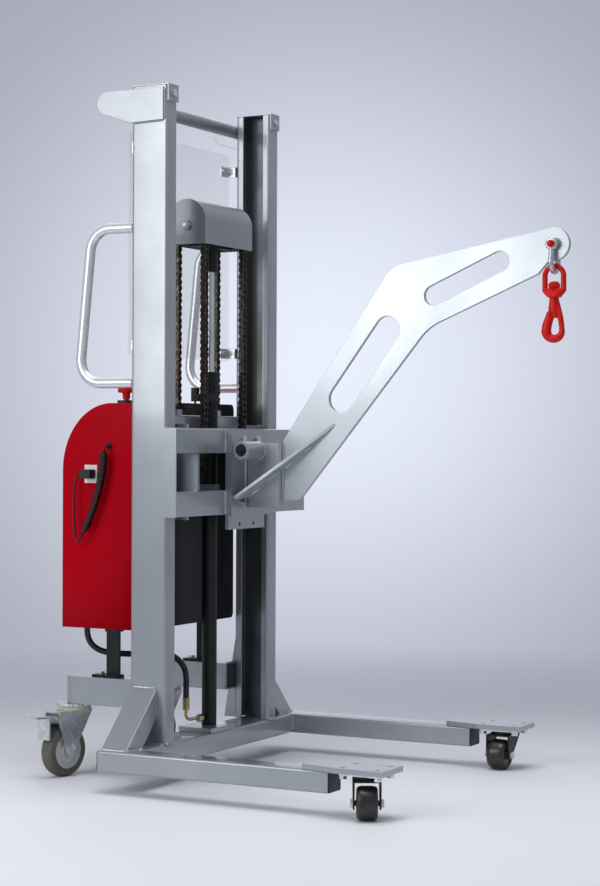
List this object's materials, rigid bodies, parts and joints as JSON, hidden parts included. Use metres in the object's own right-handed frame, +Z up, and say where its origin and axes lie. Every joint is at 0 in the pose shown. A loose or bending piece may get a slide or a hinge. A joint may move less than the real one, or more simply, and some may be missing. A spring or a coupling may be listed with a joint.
{
  "type": "mast lift with a crane jib",
  "caption": "Wheeled mast lift with straddle legs, a chain-hoisted carriage carrying a slotted plate jib with a swivel hook, and a battery pump housing behind the mast.",
  "frame": {"origin": "on the floor under the middle of the lift's length, on the plane midway between the uprights", "axes": "+X forward along the legs and the jib, +Y to the left, +Z up"},
  "size_m": [1.2519, 0.8952, 1.666],
  "materials": {
    "silver_paint": "satin silver-grey enamel",
    "caster_plate_paint": "satin silver-grey enamel",
    "jib_paint": "bright silver enamel",
    "grey_paint": "satin grey enamel",
    "zinc": "zinc plated",
    "black_paint": "satin black enamel",
    "red_paint": "gloss deep red enamel",
    "red_steel": "gloss red enamel on forged steel",
    "red_plastic": "glossy red plastic",
    "black_plastic": "matte black plastic",
    "black_rubber": "satin black rubber",
    "dark_steel": "oiled dark steel",
    "brass": "yellow-zinc and brass",
    "chrome": "ground and plated",
    "clear_plastic": "clear, see-through sheet",
    "front_wheel": "dark brown-black polyamide",
    "rear_wheel": "grey-brown tread on a light grey rim"
  },
  "bodies": {
    "frame": {"base_cross_beam": "silver_paint", "base_legs": "silver_paint", "leg_plugs": "black_plastic", "caster_plates": "caster_plate_paint", "mast_braces": "silver_paint", "uprights": "silver_paint", "top_caps": "silver_paint", "frame_bolts": "zinc", "flag_plates": "silver_paint", "top_tie_tube": "grey_paint", "rear_cross_bar": "silver_paint", "handles": "silver_paint", "guard_panel": "clear_plastic", "guard_brackets": "zinc", "rear_arms": "silver_paint", "housing_brackets": "black_paint", "housing_shell": "red_paint", "housing_chassis": "black_paint", "battery": "black_plastic", "power_unit": "dark_steel", "panel_fittings": "black_plastic", "curly_lead": "black_rubber", "charge_plug": "black_plastic", "hydraulic_hose": "black_rubber", "hose_fittings": "brass", "cylinder_tube": "black_paint", "cylinder_gland": "black_paint", "chain_rear": "dark_steel"},
    "lift_rocker": {"lift_rocker": "black_plastic"},
    "stop_button": {"stop_button": "red_plastic"},
    "crosshead": {"piston_rod": "chrome", "crosshead": "black_paint", "sprocket_cover": "grey_paint", "chain_wrap": "dark_steel"},
    "sprockets": {"sprockets": "dark_steel"},
    "carriage": {"carriage_bars": "silver_paint", "roller_plates": "silver_paint", "mount_plate": "silver_paint", "jib_base_plate": "silver_paint", "jib_post": "silver_paint", "jib_plate": "jib_paint", "jib_ribs": "silver_paint", "jib_bolts": "zinc", "chain_front": "dark_steel"},
    "upper_rollers": {"upper_rollers": "dark_steel"},
    "lower_rollers": {"lower_rollers": "dark_steel"},
    "shackle": {"shackle": "zinc"},
    "swivel_eye": {"swivel_eye": "red_steel"},
    "hook_body": {"hook_body": "red_steel"},
    "hook_jaw": {"hook_jaw": "red_steel"},
    "yoke_front_right": {"yoke_front_right": "black_paint"},
    "wheel_front_right": {"wheel_front_right": "front_wheel"},
    "yoke_front_left": {"yoke_front_left": "black_paint"},
    "wheel_front_left": {"wheel_front_left": "front_wheel"},
    "yoke_rear_right": {"yoke_rear_right": "zinc"},
    "wheel_rear_right": {"wheel_rear_right": "rear_wheel"},
    "yoke_rear_left": {"yoke_rear_left": "zinc"},
    "wheel_rear_left": {"wheel_rear_left": "rear_wheel"},
    "pedal_right": {"pedal_right": "zinc"},
    "pedal_left": {"pedal_left": "zinc"}
  },
  "joints": [
    {"name": "lift", "type": "slide", "parent": "frame", "child": "crosshead", "axis": [0, 0, 1], "range_m": [-0.24, 0.25], "deforming": ["chain_rear"]},
    {"name": "carriage_lift", "type": "slide", "parent": "crosshead", "child": "carriage", "axis": [0, 0, 1], "range_m": [-0.24, 0.25], "deforming": ["chain_front"]},
    {"name": "sprocket_spin", "type": "hinge", "parent": "crosshead", "child": "sprockets", "pos_m": [-0.3215, 0, 1.346], "axis": [0, 1, 0], "continuous": true},
    {"name": "upper_roller_spin", "type": "hinge", "parent": "carriage", "child": "upper_rollers", "pos_m": [-0.33, 0, 0.822], "axis": [0, 1, 0], "continuous": true},
    {"name": "lower_roller_spin", "type": "hinge", "parent": "carriage", "child": "lower_rollers", "pos_m": [-0.33, 0, 0.668], "axis": [0, 1, 0], "continuous": true},
    {"name": "shackle_swing", "type": "hinge", "parent": "carriage", "child": "shackle", "pos_m": [0.588, 0, 1.271], "axis": [0, -1, 0], "range_deg": [-2, 60]},
    {"name": "eye_swing", "type": "hinge", "parent": "shackle", "child": "swivel_eye", "pos_m": [0.588, 0, 1.2085], "axis": [0, -1, 0], "range_deg": [-5, 40]},
    {"name": "hook_swivel", "type": "hinge", "parent": "swivel_eye", "child": "hook_body", "pos_m": [0.588, 0, 1.16], "axis": [0, 0, 1], "continuous": true},
    {"name": "jaw_open", "type": "hinge", "parent": "hook_body", "child": "hook_jaw", "pos_m": [0.58, 0, 1.1149], "axis": [0, 1, 0], "range_deg": [0, 35]},
    {"name": "swivel_front_right", "type": "hinge", "parent": "frame", "child": "yoke_front_right", "pos_m": [0.308, -0.391, 0], "axis": [0, 0, 1], "continuous": true},
    {"name": "roll_front_right", "type": "hinge", "parent": "yoke_front_right", "child": "wheel_front_right", "pos_m": [0.32021, -0.41396, 0.0375], "axis": [0.8829, 0.4695, 0], "continuous": true},
    {"name": "swivel_front_left", "type": "hinge", "parent": "frame", "child": "yoke_front_left", "pos_m": [0.308, 0.391, 0], "axis": [0, 0, 1], "continuous": true},
    {"name": "roll_front_left", "type": "hinge", "parent": "yoke_front_left", "child": "wheel_front_left", "pos_m": [0.308, 0.365, 0.0375], "axis": [1, 0, 0], "continuous": true},
    {"name": "swivel_rear_right", "type": "hinge", "parent": "frame", "child": "yoke_rear_right", "pos_m": [-0.58, -0.213, 0], "axis": [0, 0, 1], "continuous": true},
    {"name": "roll_rear_right", "type": "hinge", "parent": "yoke_rear_right", "child": "wheel_rear_right", "pos_m": [-0.5866, -0.25042, 0.0625], "axis": [0.9848, -0.1736, 0], "continuous": true},
    {"name": "swivel_rear_left", "type": "hinge", "parent": "frame", "child": "yoke_rear_left", "pos_m": [-0.58, 0.213, 0], "axis": [0, 0, 1], "continuous": true},
    {"name": "roll_rear_left", "type": "hinge", "parent": "yoke_rear_left", "child": "wheel_rear_left", "pos_m": [-0.5866, 0.17558, 0.0625], "axis": [0.9848, -0.1736, 0], "continuous": true},
    {"name": "pedal_right", "type": "hinge", "parent": "yoke_rear_right", "child": "pedal_right", "pos_m": [-0.59146, -0.278, 0.1467], "axis": [0.9848, -0.1736, 0], "range_deg": [0, 4]},
    {"name": "pedal_left", "type": "hinge", "parent": "yoke_rear_left", "child": "pedal_left", "pos_m": [-0.59146, 0.148, 0.1467], "axis": [0.9848, -0.1736, 0], "range_deg": [0, 4]},
    {"name": "stop_push", "type": "slide", "parent": "frame", "child": "stop_button", "axis": [0, 0, -1], "range_m": [0, 0.004], "stiffness_N_per_m": 1500},
    {"name": "rocker_tilt", "type": "hinge", "parent": "frame", "child": "lift_rocker", "pos_m": [-0.427, 0, 0.911], "axis": [0, 1, 0], "range_deg": [-10, 10], "stiffness_Nm_per_rad": 0.3}
  ],
  "couplings": [
    {"joint": "carriage_lift", "follows": "lift", "ratio": 1},
    {"joint": "sprocket_spin", "follows": "lift", "rad_per_m": -26.194},
    {"joint": "upper_roller_spin", "follows": "lift", "rad_per_m": 44.944},
    {"joint": "lower_roller_spin", "follows": "lift", "rad_per_m": -44.944}
  ]
}
